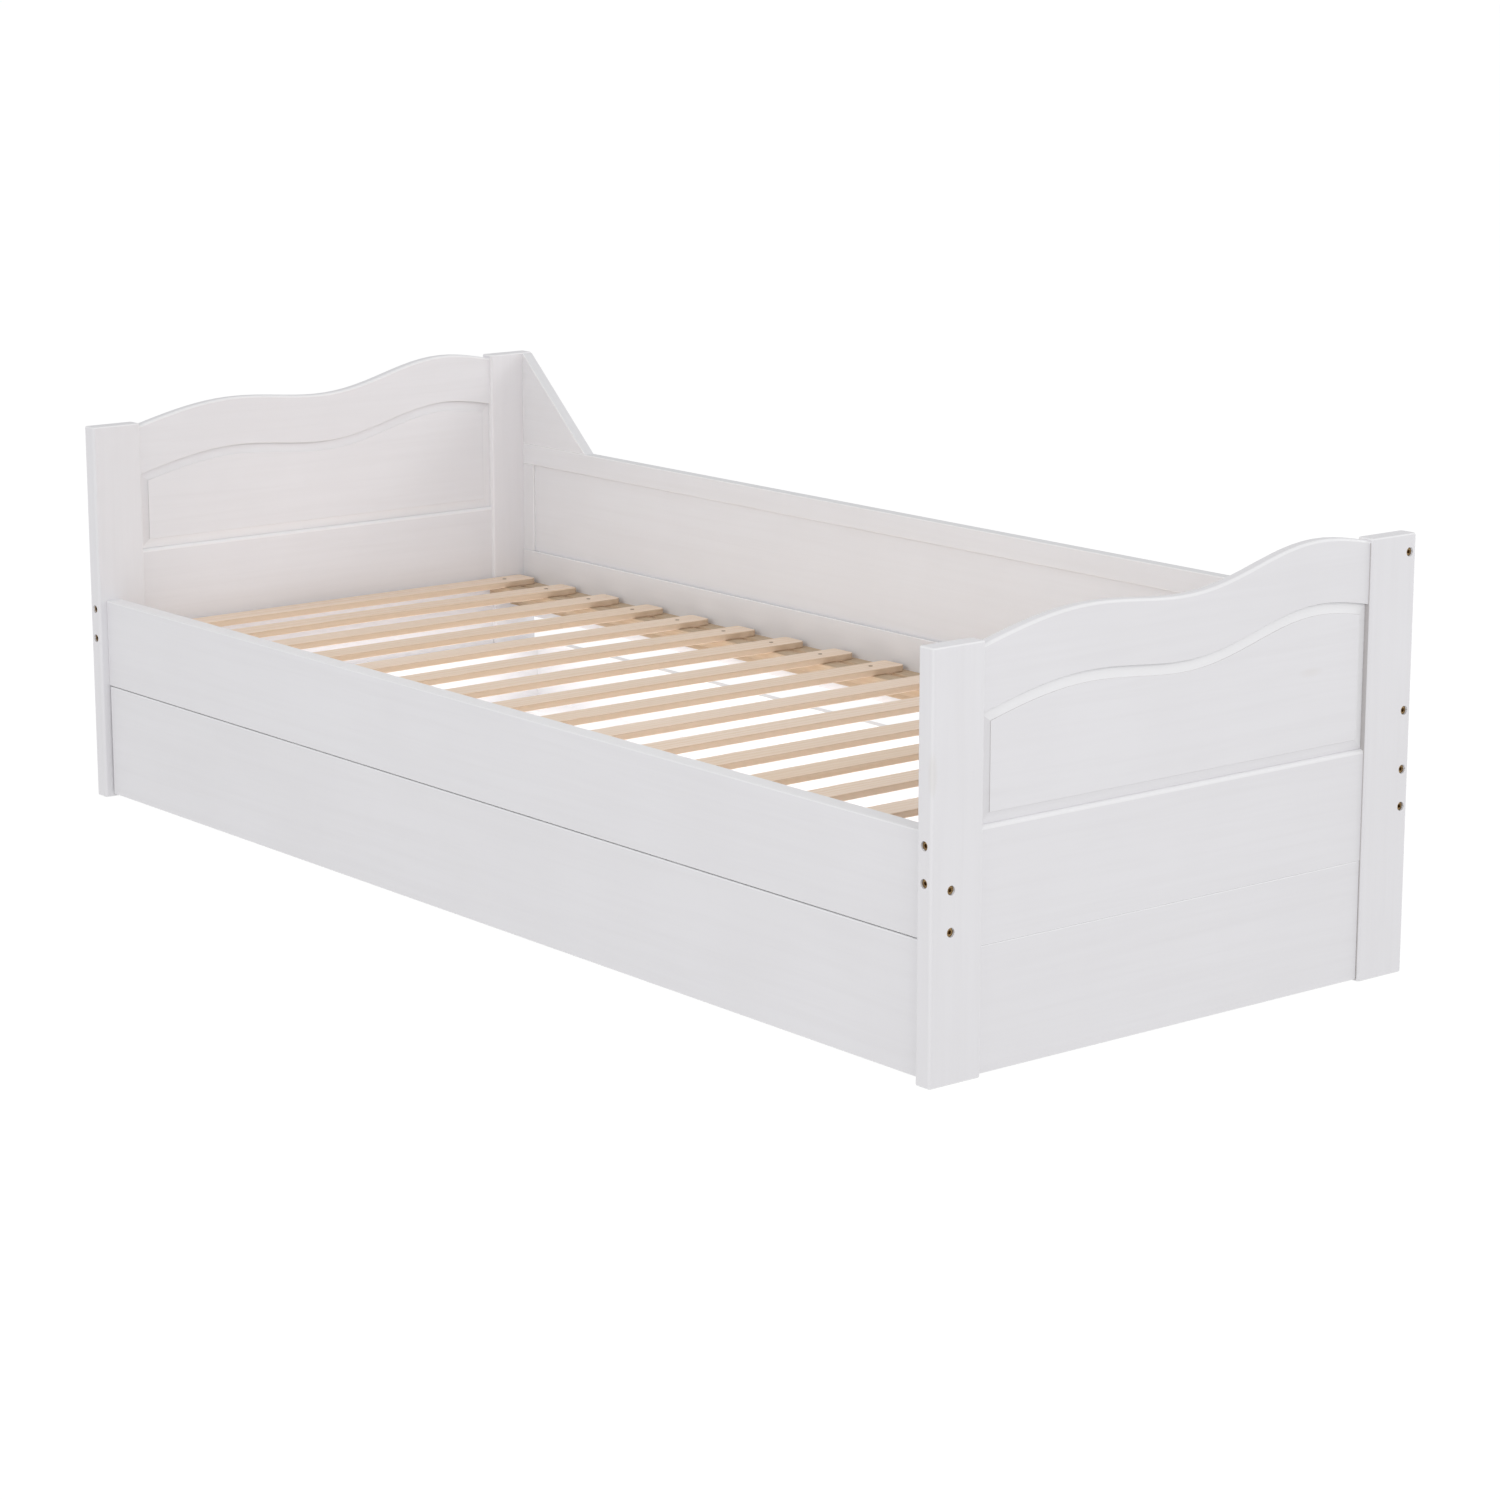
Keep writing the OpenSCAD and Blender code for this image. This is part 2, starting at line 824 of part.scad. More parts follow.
module wheel(n) {
    p = wheel_places[n - 1];
    half = wheel_w / 2;
    bore = axle_r + running_gap;
    color(nylon)
        translate([p[0], p[1], wheel_r])
            rotate([0, 90, 0])
                rotate_extrude($fn = 72)
                    polygon([
                        [bore, -half], [9, -half], [11, -half + 3], [17, -half + 3],
                        [19, -half + 1], [wheel_r - 1.5, -half + 1], [wheel_r, -half + 2.5],
                        [wheel_r, half - 2.5], [wheel_r - 1.5, half - 1], [19, half - 1],
                        [17, half - 3], [11, half - 3], [9, half], [bore, half]
                    ]);
}

head_front_post();
head_back_post();
head_top_rail();
head_raised_panel();
head_upper_board();
head_lower_board();
foot_front_post();
foot_back_post();
foot_top_rail();
foot_raised_panel();
foot_upper_board();
foot_lower_board();
front_rail();
back_rail();
front_ledger();
back_ledger();
back_panel_top_rail();
back_panel_head_stile();
back_panel_foot_stile();
back_panel_inset();
head_wing();
foot_wing();
slat_bearer_front();
slat_bearer_back();
for (n = [1 : slat_count])
    slat(n);
frame_bolts();
insert_nuts();
slat_screws();
trundle_front();
trundle_back_rail();
trundle_head_rail();
trundle_foot_rail();
trundle_base();
trundle_centre_bearer();
trundle_screws();
wheel_axles();
for (n = [1 : len(wheel_places)])
    wheel_bracket(n);
for (n = [1 : len(wheel_places)])
    wheel(n);
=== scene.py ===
"""Looks of the trundle bed: softened boards, pine, white lacquer, bolts, wheels and studio."""

import json
import math
import random

import bmesh
import bpy
from mathutils import Matrix, Vector


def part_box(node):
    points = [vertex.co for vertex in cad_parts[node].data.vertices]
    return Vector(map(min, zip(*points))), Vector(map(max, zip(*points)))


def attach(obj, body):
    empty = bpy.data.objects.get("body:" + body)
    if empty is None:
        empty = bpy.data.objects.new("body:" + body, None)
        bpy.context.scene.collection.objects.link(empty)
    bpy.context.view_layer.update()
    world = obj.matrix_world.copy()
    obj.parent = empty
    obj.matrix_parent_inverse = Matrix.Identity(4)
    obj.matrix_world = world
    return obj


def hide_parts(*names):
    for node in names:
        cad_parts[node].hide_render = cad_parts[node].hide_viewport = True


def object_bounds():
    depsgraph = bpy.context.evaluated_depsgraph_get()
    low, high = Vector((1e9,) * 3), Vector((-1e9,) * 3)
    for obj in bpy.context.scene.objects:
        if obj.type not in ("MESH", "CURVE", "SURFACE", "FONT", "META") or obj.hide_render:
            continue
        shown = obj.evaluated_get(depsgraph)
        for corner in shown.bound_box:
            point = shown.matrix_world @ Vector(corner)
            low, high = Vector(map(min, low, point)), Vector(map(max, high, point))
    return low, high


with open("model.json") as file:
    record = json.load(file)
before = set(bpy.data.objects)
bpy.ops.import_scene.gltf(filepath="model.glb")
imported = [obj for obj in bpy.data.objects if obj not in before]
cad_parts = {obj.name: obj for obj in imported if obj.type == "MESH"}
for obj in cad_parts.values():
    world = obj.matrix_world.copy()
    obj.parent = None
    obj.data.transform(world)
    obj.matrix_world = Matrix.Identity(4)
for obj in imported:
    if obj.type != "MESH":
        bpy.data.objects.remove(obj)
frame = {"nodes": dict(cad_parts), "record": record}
cad_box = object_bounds()

NODES = frame["nodes"]
BODY_OF = {n: b for b, names in frame["record"]["behaviour"]["bodies"].items() for n in names}
MM = 0.001


# ---- Node helpers ----

# The Mix node has several sockets of each name, so its colour sockets are found by place.
MIX_FACTOR, MIX_A, MIX_B, MIX_RESULT = 0, 6, 7, 2


class Shader:
    """A material's node tree, with short calls to add and join nodes."""

    def __init__(self, name):
        self.material = bpy.data.materials.new(name)
        self.material.use_nodes = True
        self.tree = self.material.node_tree
        self.bsdf = self.tree.nodes["Principled BSDF"]

    def add(self, kind, inputs=None, **settings):
        node = self.tree.nodes.new(kind)
        for key, value in settings.items():
            setattr(node, key, value)
        for key, value in (inputs or {}).items():
            self.put(node, key, value)
        return node

    def put(self, node, key, value):
        socket = node.inputs[key]
        if isinstance(value, bpy.types.NodeSocket):
            self.tree.links.new(value, socket)
        else:
            socket.default_value = value

    def board(self):
        """Coordinates in a board's own frame, in metres: along, across, through."""
        return self.add("ShaderNodeAttribute", attribute_name="grain").outputs["Vector"]

    def attribute(self, name):
        return self.add("ShaderNodeAttribute", attribute_name=name).outputs["Fac"]

    def object_space(self):
        return self.add("ShaderNodeTexCoord").outputs["Object"]

    def vector_math(self, operation, a, b):
        node = self.add("ShaderNodeVectorMath", {0: a, 1: b}, operation=operation)
        return node.outputs["Vector"]

    def stretch(self, vector, scale):
        return self.vector_math("MULTIPLY", vector, scale)

    def noise(self, vector, scale=1.0, detail=2.0, roughness=0.55, distortion=0.0):
        inputs = {
            "Vector": vector,
            "Scale": scale,
            "Detail": detail,
            "Roughness": roughness,
            "Distortion": distortion,
        }
        return self.add("ShaderNodeTexNoise", inputs).outputs["Fac"]

    def math(self, operation, a, b):
        return self.add("ShaderNodeMath", {0: a, 1: b}, operation=operation).outputs["Value"]

    def times(self, a, b):
        return self.math("MULTIPLY", a, b)

    def plus(self, a, b):
        return self.math("ADD", a, b)

    def spread(self, value, source, target):
        """Maps a range of values onto another, and holds it at the ends."""
        inputs = {
            "Value": value,
            "From Min": source[0],
            "From Max": source[1],
            "To Min": target[0],
            "To Max": target[1],
        }
        return self.add("ShaderNodeMapRange", inputs).outputs["Result"]

    def mix(self, factor, a, b):
        inputs = {MIX_FACTOR: factor, MIX_A: a, MIX_B: b}
        return self.add("ShaderNodeMix", inputs, data_type="RGBA").outputs[MIX_RESULT]

    def bump(self, height, strength, distance, below=None):
        inputs = {"Height": height, "Strength": strength, "Distance": distance}
        if below is not None:
            inputs["Normal"] = below
        return self.add("ShaderNodeBump", inputs).outputs["Normal"]

    def finish(self, inputs):
        for key, value in inputs.items():
            self.put(self.bsdf, key, value)
        return self.material


def rgb(red, green, blue):
    return (red, green, blue, 1.0)


# ---- Materials ----

# Stretches of a board's coordinates, in cells per metre along, across and through.
KNOT_CELLS = (2.6, 9.0, 9.0)
FIGURE = (3.2, 85.0, 85.0)
PORES = (22.0, 950.0, 950.0)
FIBRES = (14.0, 620.0, 620.0)
BANDS = (1.3, 26.0, 26.0)
SWAY = (2.2, 5.0, 5.0)
# How far the growth rings wander, in metres.
SWAY_REACH = (0.0, 0.016, 0.016)
RINGS_PER_METRE = 42.0

# Share of the cells that hold no knot, and the solid part of a knot's radius.
KNOT_FREE = 0.72
KNOT_CORE = 0.55

# Most noise lies between these values.
NOISE_RANGE = (0.3, 0.7)

# Painted highlight on edges and faces that catch light, and painted shade in corners, seams and
# faces turned from it.
PAINTED_HIGHLIGHT_TONE = rgb(0.92, 0.92, 0.93)
PAINTED_SHADE_TONE = rgb(0.36, 0.33, 0.31)
PAINTED_LIGHT_SHARE = 0.6
LACQUERED_KNOT = rgb(0.62, 0.56, 0.47)

KNOT_TONE = rgb(0.26, 0.12, 0.05)
# Painted shade for the sides of the slats.
SIDE_SHADE_TONE = rgb(0.52, 0.38, 0.255)
AGED_TONE = rgb(0.70, 0.50, 0.31)


def knots(s, board, size):
    """1 inside a sparse round knot, falling to 0 at its rim."""
    cells = s.add(
        "ShaderNodeTexVoronoi",
        {"Vector": s.stretch(board, KNOT_CELLS), "Scale": 1.0, "Randomness": 0.9},
    )
    picked = s.add("ShaderNodeSeparateColor", {"Color": cells.outputs["Color"]})
    chosen = s.math("GREATER_THAN", picked.outputs["Red"], KNOT_FREE)
    near = s.spread(cells.outputs["Distance"], (size * KNOT_CORE, size), (1.0, 0.0))
    return s.times(near, chosen)


def lacquer(name, tone, shade):
    """White lacquer over pine: the grain shows faintly through it, in tone and in relief. Painted
    highlights and painted shade lie on it where its masks say.
    """
    s = Shader(name)
    board = s.board()
    figure = s.noise(s.stretch(board, FIGURE), detail=4.0, roughness=0.6, distortion=0.35)
    pores = s.noise(s.stretch(board, PORES), roughness=0.5)
    clouds = s.noise(board, scale=6.0)
    sheen = s.noise(board, scale=35.0, detail=3.0)
    knot = knots(s, board, size=0.085)
    colour = s.mix(s.spread(figure, (0.42, 0.72), (0.0, 0.55)), tone, shade)
    colour = s.mix(s.spread(clouds, (0.35, 0.7), (0.0, 0.4)), colour, shade)
    colour = s.mix(s.times(knot, 0.16), colour, LACQUERED_KNOT)
    # Painted highlight: a lighter colour where the highlight mask is set.
    colour = s.mix(s.times(s.attribute("painted_highlight_mask"), PAINTED_LIGHT_SHARE), colour, PAINTED_HIGHLIGHT_TONE)
    # Painted shade: a darker colour where the shade mask is set.
    colour = s.mix(s.times(s.attribute("painted_shade_mask"), PAINTED_LIGHT_SHARE), colour, PAINTED_SHADE_TONE)
    relief = s.plus(s.times(pores, 0.45), s.times(figure, 0.55))
    relief = s.plus(relief, s.times(knot, -0.25))
    peel = s.noise(board, scale=420.0, detail=1.0)
    peel = s.bump(peel, strength=0.10, distance=0.06 * MM)
    return s.finish({
        "Base Color": colour,
        "Roughness": s.spread(sheen, NOISE_RANGE, (0.36, 0.50)),
        "Normal": s.bump(relief, strength=0.30, distance=0.22 * MM, below=peel),
        "Specular IOR Level": 0.42,
        "Coat Weight": 0.06,
    })


def pine(name, early, late):
    """Pine: growth rings round a pith beside the board, knots, fine pores, and painted shade on
    the sides.
    """
    s = Shader(name)
    board = s.board()
    sway = s.add("ShaderNodeTexNoise", {"Vector": s.stretch(board, SWAY), "Scale": 1.0})
    rings = s.add(
        "ShaderNodeTexWave",
        {
            "Vector": s.vector_math("ADD", board, s.stretch(sway.outputs["Color"], SWAY_REACH)),
            "Scale": RINGS_PER_METRE,
            "Distortion": 1.6,
            "Detail": 2.0,
            "Detail Scale": 1.2,
        },
        wave_type="RINGS",
        rings_direction="X",
        wave_profile="SAW",
    )
    ring = s.spread(rings.outputs["Fac"], (0.25, 0.98), (0.0, 1.0))
    fibre = s.noise(s.stretch(board, FIBRES), detail=3.0, roughness=0.6)
    band = s.noise(s.stretch(board, BANDS))
    knot = knots(s, board, size=0.06)
    depth = s.times(ring, s.spread(band, (0.3, 0.75), (0.25, 0.85)))
    colour = s.mix(depth, early, late)
    colour = s.mix(s.spread(fibre, (0.35, 0.7), (0.0, 0.22)), colour, late)
    colour = s.mix(s.attribute("tint"), colour, AGED_TONE)
    # Painted shade: the sides of the slats browner and darker.
    colour = s.mix(s.times(s.attribute("painted_side_shade"), 0.7), colour, SIDE_SHADE_TONE)
    colour = s.mix(s.times(knot, 0.75), colour, KNOT_TONE)
    relief = s.plus(s.times(ring, 0.6), s.times(fibre, 0.5))
    return s.finish({
        "Base Color": colour,
        "Roughness": s.spread(fibre, NOISE_RANGE, (0.52, 0.66)),
        "Normal": s.bump(relief, strength=0.35, distance=0.2 * MM),
        "Specular IOR Level": 0.35,
    })


def bronze(name):
    """Antique bronze: dark, rubbed bright in random patches."""
    s = Shader(name)
    place = s.object_space()
    mottle = s.noise(place, scale=700.0, detail=4.0, roughness=0.65)
    rubbed = s.spread(mottle, (0.35, 0.7), (0.0, 1.0))
    pits = s.noise(place, scale=2600.0)
    return s.finish({
        "Base Color": s.mix(rubbed, rgb(0.16, 0.10, 0.045), rgb(0.46, 0.31, 0.15)),
        "Roughness": s.spread(mottle, NOISE_RANGE, (0.48, 0.30)),
        "Normal": s.bump(pits, strength=0.25, distance=0.05 * MM),
        "Metallic": 1.0,
    })


def zinc(name):
    """Zinc-plated steel, with the faint lines of rolling and a clouded passivation."""
    s = Shader(name)
    place = s.object_space()
    clouds = s.noise(place, scale=60.0, detail=4.0, roughness=0.6)
    lines = s.noise(s.stretch(place, (1.0, 1.0, 14.0)), scale=260.0)
    return s.finish({
        "Base Color": s.mix(clouds, rgb(0.55, 0.57, 0.60), rgb(0.72, 0.71, 0.66)),
        "Roughness": s.spread(clouds, NOISE_RANGE, (0.28, 0.42)),
        "Normal": s.bump(lines, strength=0.2, distance=0.05 * MM),
        "Metallic": 1.0,
    })


def nylon(name):
    """Dark moulded nylon, with duller scuffed patches."""
    s = Shader(name)
    place = s.object_space()
    scuff = s.noise(place, scale=90.0, detail=4.0, roughness=0.65)
    worn = s.spread(scuff, (0.45, 0.75), (0.0, 0.6))
    pits = s.noise(place, scale=1500.0)
    return s.finish({
        "Base Color": s.mix(worn, rgb(0.020, 0.020, 0.022), rgb(0.09, 0.088, 0.085)),
        "Roughness": s.spread(scuff, NOISE_RANGE, (0.38, 0.62)),
        "Normal": s.bump(pits, strength=0.3, distance=0.06 * MM),
    })


WHITE = lacquer("white_lacquer", rgb(0.812, 0.804, 0.828), rgb(0.775, 0.764, 0.785))
# A darker copy of the white lacquer, as painted shade, for the parts inside the bed and at its
# back.
WHITE_PAINTED_SHADE = lacquer("white_lacquer_painted_shade", rgb(0.772, 0.772, 0.790), rgb(0.738, 0.732, 0.746))
PINE = pine("planed_pine", rgb(0.955, 0.805, 0.68), rgb(0.83, 0.625, 0.445))
# Sawn pine for the ledgers and bearers under the slats, its tone darkened as painted shade.
PINE_SAWN_SHADED = pine("sawn_pine_painted_shade", rgb(0.60, 0.465, 0.33), rgb(0.46, 0.32, 0.195))
BRONZE = bronze("antique_bronze")
ZINC = zinc("zinc_plate")
NYLON = nylon("black_nylon")


# ---- Mesh helpers ----

# Where a board was cut from its log: metres along the trunk, and past the pith each way.
ALONG_TRUNK = (0, 40)
PITH_ACROSS = (0.03, 0.07)
PITH_THROUGH = (0.035, 0.09)
TINT_MEAN, TINT_SPREAD = 0.10, 0.12

WELD_REACH = 0.002 * MM
PLANE_REACH = 0.02 * MM
SHORT_EDGE = 5 * MM
FLAT_ANGLE = math.radians(0.3)
CORNER_ANGLE = math.radians(20)
SOFTENED_ANGLE = math.radians(35)
SHARP_ANGLE = math.radians(38)
# A normal with more than this along an axis lies on that axis.
ON_AXIS = 0.999

ROUND_SEGMENTS = 3
WIDE_ROUND_SEGMENTS = 5

# The painted light on the side of a post stops this far under its top, where the boards end.
POST_CAP = 6.0 * MM


def seeded(name):
    return random.Random("trundle bed " + name)


def write_attribute(mesh, name, kind, key, values):
    attribute = mesh.attributes.new(name, kind, "POINT")
    attribute.data.foreach_set(key, values)


def set_grain(mesh, name, lo, hi):
    """Stores each vertex's place along, across and through its board, past a random pith."""
    rng = seeded(name)
    size = hi - lo
    along, across, through = sorted(range(3), key=lambda axis: -size[axis])
    centre = (lo + hi) / 2
    start = (rng.uniform(*ALONG_TRUNK), rng.uniform(*PITH_ACROSS), rng.uniform(*PITH_THROUGH))
    sides = (rng.choice((-1, 1)), rng.choice((-1, 1)))
    values = []
    for vertex in mesh.vertices:
        p = vertex.co - centre
        values += [
            p[along] + start[0],
            sides[0] * p[across] + start[1],
            sides[1] * p[through] + start[2],
        ]
    write_attribute(mesh, "grain", "FLOAT_VECTOR", "vector", values)
    tint = max(0.0, rng.gauss(TINT_MEAN, TINT_SPREAD))
    write_attribute(mesh, "tint", "FLOAT", "value", [tint] * len(mesh.vertices))


def on_plane(edge, axis, value):
    return all(abs(v.co[axis] - value) < PLANE_REACH for v in edge.verts)


def flat_on_box(face, lo, hi):
    """Whether a face lies in one of the six faces of its board's box."""
    for axis in range(3):
        if abs(face.normal[axis]) > ON_AXIS:
            at = face.calc_center_median()[axis]
            return min(abs(at - lo[axis]), abs(at - hi[axis])) < PLANE_REACH
    return False


def is_corner(edge):
    return edge.is_manifold and edge.is_convex and edge.calc_face_angle(0) > CORNER_ANGLE


def box_edges(bm, lo, hi):
    """The outer edges of a straight board. Grooves and bores are left sharp."""
    return [
        e for e in bm.edges
        if is_corner(e) and all(flat_on_box(f, lo, hi) for f in e.link_faces)
    ]


def outline_edges(bm, axis, lo, hi):
    """The longer edges on a board's two faces across an axis, curved ones included."""
    return [
        e for e in bm.edges
        if is_corner(e)
        and e.calc_length() > SHORT_EDGE
        and (on_plane(e, axis, lo[axis]) or on_plane(e, axis, hi[axis]))
    ]


def side_edges(bm, lo, hi):
    """The outline of an end board, on both of its faces."""
    return outline_edges(bm, 0, lo, hi)


def wing_edges(bm, lo, hi):
    """The outline of a wing, on both of its faces."""
    return outline_edges(bm, 1, lo, hi)


def end_edges(bm, lo, hi):
    """The edges round the top and the foot of a post."""
    return [
        e for e in bm.edges
        if is_corner(e) and (on_plane(e, 2, lo.z) or on_plane(e, 2, hi.z))
    ]


def soften(bm, edges, radius, segments):
    """Rounds edges, and returns the faces that this makes."""
    made = bmesh.ops.bevel(
        bm,
        geom=list(edges),
        offset=radius,
        offset_type="OFFSET",
        segments=segments,
        profile=0.5,
        affect="EDGES",
        clamp_overlap=True,
    )
    return made["faces"]


def show(bm, name, node, material, lo, hi):
    """Makes the piece that stands for a CAD node, on the node's body."""
    mesh = bpy.data.meshes.new(name)
    bm.to_mesh(mesh)
    bm.free()
    set_grain(mesh, name, lo, hi)
    mesh.materials.clear()
    mesh.materials.append(material)
    mesh.polygons.foreach_set("use_smooth", [True] * len(mesh.polygons))
    mesh.set_sharp_from_angle(angle=SHARP_ANGLE)
    piece = bpy.data.objects.new(name, mesh)
    bpy.context.scene.collection.objects.link(piece)
    flat = piece.modifiers.new("flat_faces", "WEIGHTED_NORMAL")
    flat.keep_sharp = True
    flat.weight = 100
    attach(piece, BODY_OF[node])
    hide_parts(node)


def welded(node):
    """A clean copy of a CAD node's mesh, with its flat faces whole and a post's top cut apart."""
    bm = bmesh.new()
    bm.from_mesh(NODES[node].data)
    bmesh.ops.remove_doubles(bm, verts=bm.verts, dist=WELD_REACH)
    bmesh.ops.dissolve_limit(bm, angle_limit=FLAT_ANGLE, verts=bm.verts, edges=bm.edges)
    if node.endswith("_post"):
        bmesh.ops.bisect_plane(
            bm,
            geom=list(bm.verts) + list(bm.edges) + list(bm.faces),
            plane_co=(0, 0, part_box(node)[1].z - POST_CAP),
            plane_no=(0, 0, 1),
        )
    bm.normal_update()
    return bm


def board(node, material, pick, radius, finer=None, painted_light=None, round_painted_light=None):
    """A softened board. 'finer' picks the edges that get a radius of their own.

    The face callback gives a face's share of painted highlight and its share of painted shade.
    The rounding callback does the same for the rounded edges, which all get a painted highlight
    without it.
    """
    lo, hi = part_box(node)
    bm = welded(node)
    # Masks for painted highlight and painted shade.
    painted_highlight_mask = bm.faces.layers.float.new("painted_highlight_mask")
    painted_shade_mask = bm.faces.layers.float.new("painted_shade_mask")
    if painted_light is not None:
        for face in bm.faces:
            face[painted_highlight_mask], face[painted_shade_mask] = painted_light(face, lo, hi)
    edges = set(pick(bm, lo, hi))
    if finer is not None:
        picks, own_radius = finer
        special = {e for e in edges if picks(e)}
        # Painted highlight on these roundings.
        for face in soften(bm, special, own_radius, WIDE_ROUND_SEGMENTS):
            face[painted_highlight_mask] = 1.0
        edges = {e for e in edges if e.is_valid and e not in special}
    # Painted highlight on the other roundings, unless a rounding callback sets their painted
    # light.
    for face in soften(bm, edges, radius, ROUND_SEGMENTS):
        face[painted_highlight_mask] = 1.0
        if round_painted_light is not None:
            face[painted_highlight_mask], face[painted_shade_mask] = round_painted_light(face, lo)
    show(bm, node + "_finished", node, material, lo, hi)


# ---- The boards ----

# A normal with this much along an axis faces that way, more or less or squarely.
FACES = 0.9
FACES_SQUARELY = 0.99
# A bevel's normal leans off its board's face by more than this.
LEANS = 0.05


def upper_edge(edge):
    """The upper edges along a board's two faces, straight or curved."""
    return all(f.normal.z > 0.6 or abs(f.normal.x) > FACES for f in edge.link_faces)


def post_painted_light(face, lo, hi):
    """Painted light on the side of a post that meets the boards: painted shade at the foot,
    painted highlight at the head.
    """
    inward = -1 if lo.y > 0 else 1
    covered = face.calc_center_median().z < hi.z - POST_CAP
    if face.normal.y * inward < FACES_SQUARELY or not covered:
        return 0.0, 0.0
    return (0.0, 1.0) if lo.x > 0 else (0.6, 0.0)


def post_round_painted_light(face, lo):
    """Painted highlight on a post's top and rounded edges, and painted shade in the corner where
    the front rail meets it.
    """
    normal = face.normal
    if abs(normal.z) > 0.1:
        return 1.0, 0.0
    if lo.y < 0 and normal.y < 0:
        return (0.0, 1.0) if normal.x * lo.x < 0 else (0.0, 0.1)
    return 0.5, 0.0


def top_painted_highlight(face, lo, hi):
    """Painted highlight on the narrow top and underside of a board."""
    return float(abs(face.normal.z) > FACES), 0.0


def panel_painted_light(face, lo, hi):
    """Painted light on a raised panel's shoulders and bevels.

    Outside, a painted highlight on the bevel that looks up. Inside, a painted highlight on the one
    that looks down, over the slats. On both, a painted highlight on the side bevel towards the
    back, and painted shade towards the front and on the shoulders.
    """
    normal = face.normal
    if abs(normal.x) < 0.5:
        return 0.0, 0.5
    outside = normal.x * lo.x > 0
    if normal.z > LEANS:
        return (1.0, 0.0) if outside else (0.1, 0.0)
    if normal.z < -LEANS:
        return (0.0, 0.0) if outside else (0.6, 0.0)
    if abs(normal.y) > LEANS:
        return (0.6, 0.0) if normal.y > 0 else (0.0, 0.07)
    return 0.0, 0.0


for end in ("head", "foot"):
    for place in ("front_post", "back_post"):
        board(f"{end}_{place}", WHITE, end_edges, 2.0 * MM, None, post_painted_light, post_round_painted_light)
    board(f"{end}_top_rail", WHITE, side_edges, 1.0 * MM, (upper_edge, 3.5 * MM))
    board(f"{end}_raised_panel", WHITE, side_edges, 0.6 * MM, painted_light=panel_painted_light)
    board(f"{end}_upper_board", WHITE, side_edges, 1.3 * MM, (upper_edge, 5.5 * MM))
    board(f"{end}_lower_board", WHITE, side_edges, 1.3 * MM)
    board(f"{end}_wing", WHITE_PAINTED_SHADE, wing_edges, 1.5 * MM)
    board(f"back_panel_{end}_stile", WHITE_PAINTED_SHADE, box_edges, 0.7 * MM)
    board(f"trundle_{end}_rail", WHITE_PAINTED_SHADE, box_edges, 1.5 * MM)

board("front_rail", WHITE, box_edges, 1.8 * MM, painted_light=top_painted_highlight)
board("back_rail", WHITE_PAINTED_SHADE, box_edges, 1.0 * MM)
board("back_panel_top_rail", WHITE_PAINTED_SHADE, box_edges, 1.5 * MM)
board("back_panel_inset", WHITE_PAINTED_SHADE, box_edges, 0.5 * MM)
board("trundle_front", WHITE, box_edges, 1.8 * MM, painted_light=top_painted_highlight)
board("trundle_back_rail", WHITE_PAINTED_SHADE, box_edges, 1.5 * MM)
board("trundle_base", WHITE_PAINTED_SHADE, box_edges, 0.5 * MM)
for name in ("front_ledger", "back_ledger", "slat_bearer_front", "slat_bearer_back"):
    board(name, PINE_SAWN_SHADED, box_edges, 1.2 * MM)
board("trundle_centre_bearer", PINE_SAWN_SHADED, box_edges, 1.2 * MM)


# ---- The slats ----

CORNER_POINTS = 5
END_STEPS = (0.0, 0.35, 1.0, 2.0, 3.6, 5.6, 8.0)
SPAN_STEPS = 24
CORNER_R = 8.0 * MM
ARRIS_R = 2.2 * MM
HEAD_PROUD = 0.3 * MM
# How sawn pine leaves the straight: up in mm, sideways in mm, and turned in degrees.
BOW = (-0.2, 1.6)
SPRING = (-1.5, 1.5)
TWIST = (-0.5, 0.5)
# A face whose normal is flatter than this is a side, which gets painted shade.
SHADED_SIDE = 0.6


def slat_section(half_w, low, high, radius):
    """A rounded rectangle in X and Z, as a ring of points."""
    ring = []
    corners = [(half_w, high, 0), (-half_w, high, 90), (-half_w, low, 180), (half_w, low, 270)]
    for x, z, start in corners:
        cx = x - math.copysign(radius, x)
        cz = z - radius if z == high else z + radius
        for i in range(CORNER_POINTS):
            a = math.radians(start + 90 * i / (CORNER_POINTS - 1))
            ring.append((cx + radius * math.cos(a), cz + radius * math.sin(a)))
    return ring


def lost_to_round(radius, from_end):
    """How far a round of this radius has fallen away at a distance from the end."""
    reach = max(0.0, radius - from_end)
    return radius - math.sqrt(max(0.0, radius**2 - reach**2))


